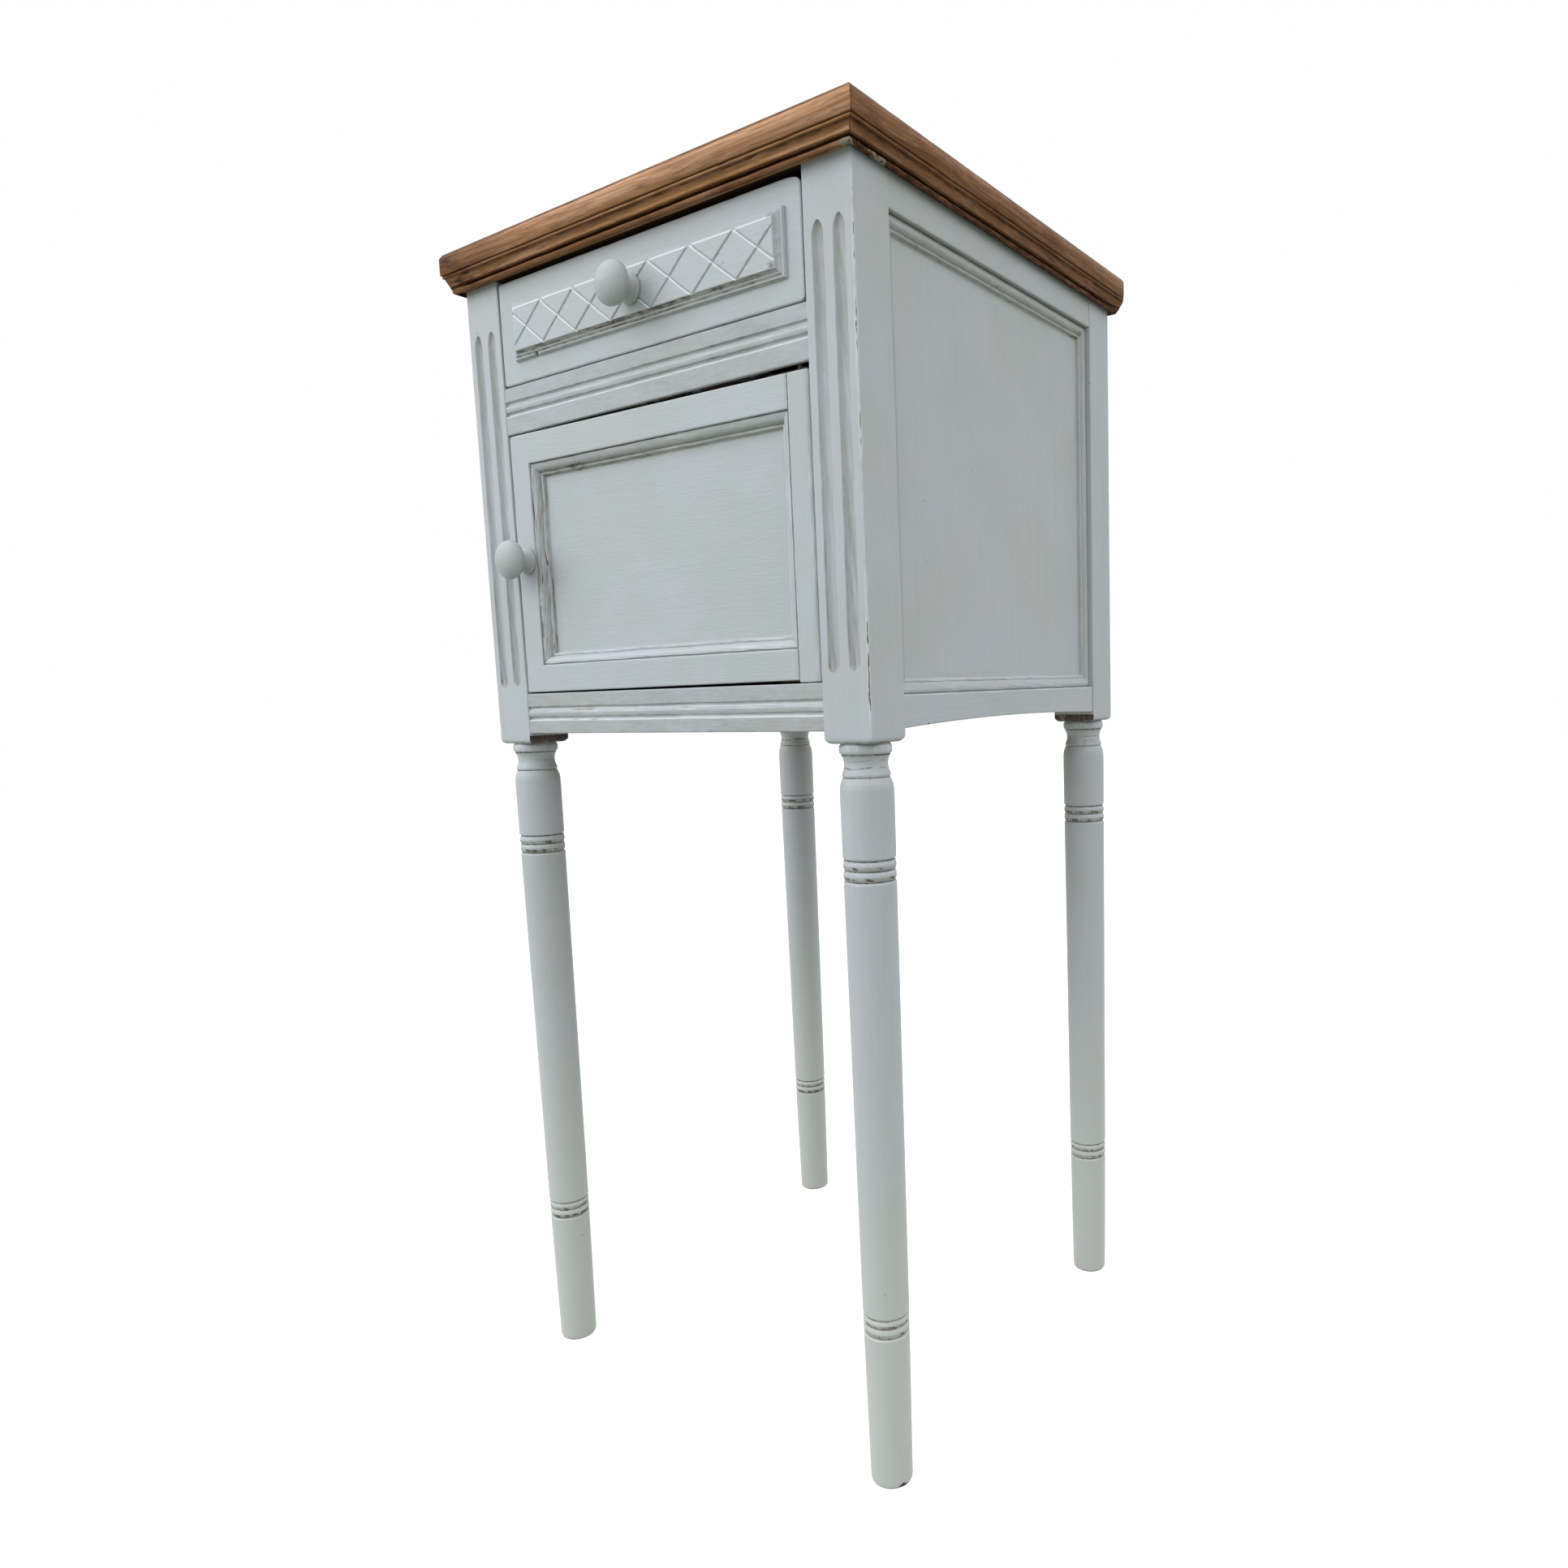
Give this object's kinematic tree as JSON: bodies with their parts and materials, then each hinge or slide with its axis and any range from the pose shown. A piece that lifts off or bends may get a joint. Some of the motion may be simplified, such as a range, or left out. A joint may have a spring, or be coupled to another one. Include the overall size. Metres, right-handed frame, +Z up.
{
  "type": "nightstand",
  "caption": "Painted bedside cabinet on tall turned legs, with an oak top, a drawer with a carved plaque and a panelled cupboard door.",
  "frame": {"origin": "on the floor, under the middle of the outer box", "axes": "+X to the right seen from the front, +Y to the back, +Z up"},
  "size_m": [0.37, 0.382, 0.829],
  "materials": {
    "painted_wood": "chalky grey-blue paint, worn through at the arrises",
    "stripped_oak": "stripped and waxed oak, dark in the grooves",
    "bare_wood": "bare aged wood",
    "thin_board": "bare thin board",
    "steel": "dull plain steel",
    "brass": "dull brass",
    "catch_plastic": "off-white moulded case",
    "magnet": "dark sintered magnet"
  },
  "bodies": {
    "carcass": {"top_panel": "stripped_oak", "top_edge_front": "stripped_oak", "top_edge_back": "stripped_oak", "top_edge_left": "stripped_oak", "top_edge_right": "stripped_oak", "bed_moulding_front": "stripped_oak", "bed_moulding_back": "stripped_oak", "bed_moulding_left": "stripped_oak", "bed_moulding_right": "stripped_oak", "leg_front_left": "painted_wood", "leg_front_right": "painted_wood", "leg_back_left": "painted_wood", "leg_back_right": "painted_wood", "front_top_rail": "painted_wood", "drawer_rail": "painted_wood", "bottom_rail": "painted_wood", "back_top_rail": "bare_wood", "back_bottom_rail": "bare_wood", "side_top_rail_left": "painted_wood", "side_top_rail_right": "painted_wood", "side_bottom_rail_left": "painted_wood", "side_bottom_rail_right": "painted_wood", "side_panel_left": "painted_wood", "side_panel_right": "painted_wood", "side_moulding_left": "painted_wood", "side_moulding_right": "painted_wood", "back_panel": "thin_board", "back_panel_nails": "steel", "floor_board": "bare_wood", "drawer_runner_left": "bare_wood", "drawer_runner_right": "bare_wood", "drawer_kickers": "bare_wood", "drawer_stops": "bare_wood", "top_screws": "steel", "pivot_socket_top": "steel", "pivot_socket_bottom": "steel", "pivot_washer": "brass", "catch_case": "catch_plastic", "catch_magnet": "magnet", "carcass_screws": "steel"},
    "drawer": {"drawer_front": "painted_wood", "drawer_plaque": "painted_wood", "drawer_side_left": "bare_wood", "drawer_side_right": "bare_wood", "drawer_back": "bare_wood", "drawer_bottom": "thin_board", "drawer_knob": "painted_wood", "drawer_knob_screw": "steel"},
    "door": {"door_stile_knob": "painted_wood", "door_stile_hinge": "painted_wood", "door_top_rail": "painted_wood", "door_bottom_rail": "painted_wood", "door_panel": "painted_wood", "door_moulding": "painted_wood", "door_pivots": "steel", "door_knob": "painted_wood", "door_knob_screw": "steel", "strike_plate": "steel", "door_screws": "steel"}
  },
  "joints": [
    {"name": "drawer_slide", "type": "slide", "parent": "carcass", "child": "drawer", "axis": [0, -1, 0], "range_m": [0, 0.2]},
    {"name": "door_hinge", "type": "hinge", "parent": "carcass", "child": "door", "pos_m": [0.1278, -0.15655, 0.6], "axis": [0, 0, 1], "range_deg": [0, 105]}
  ]
}
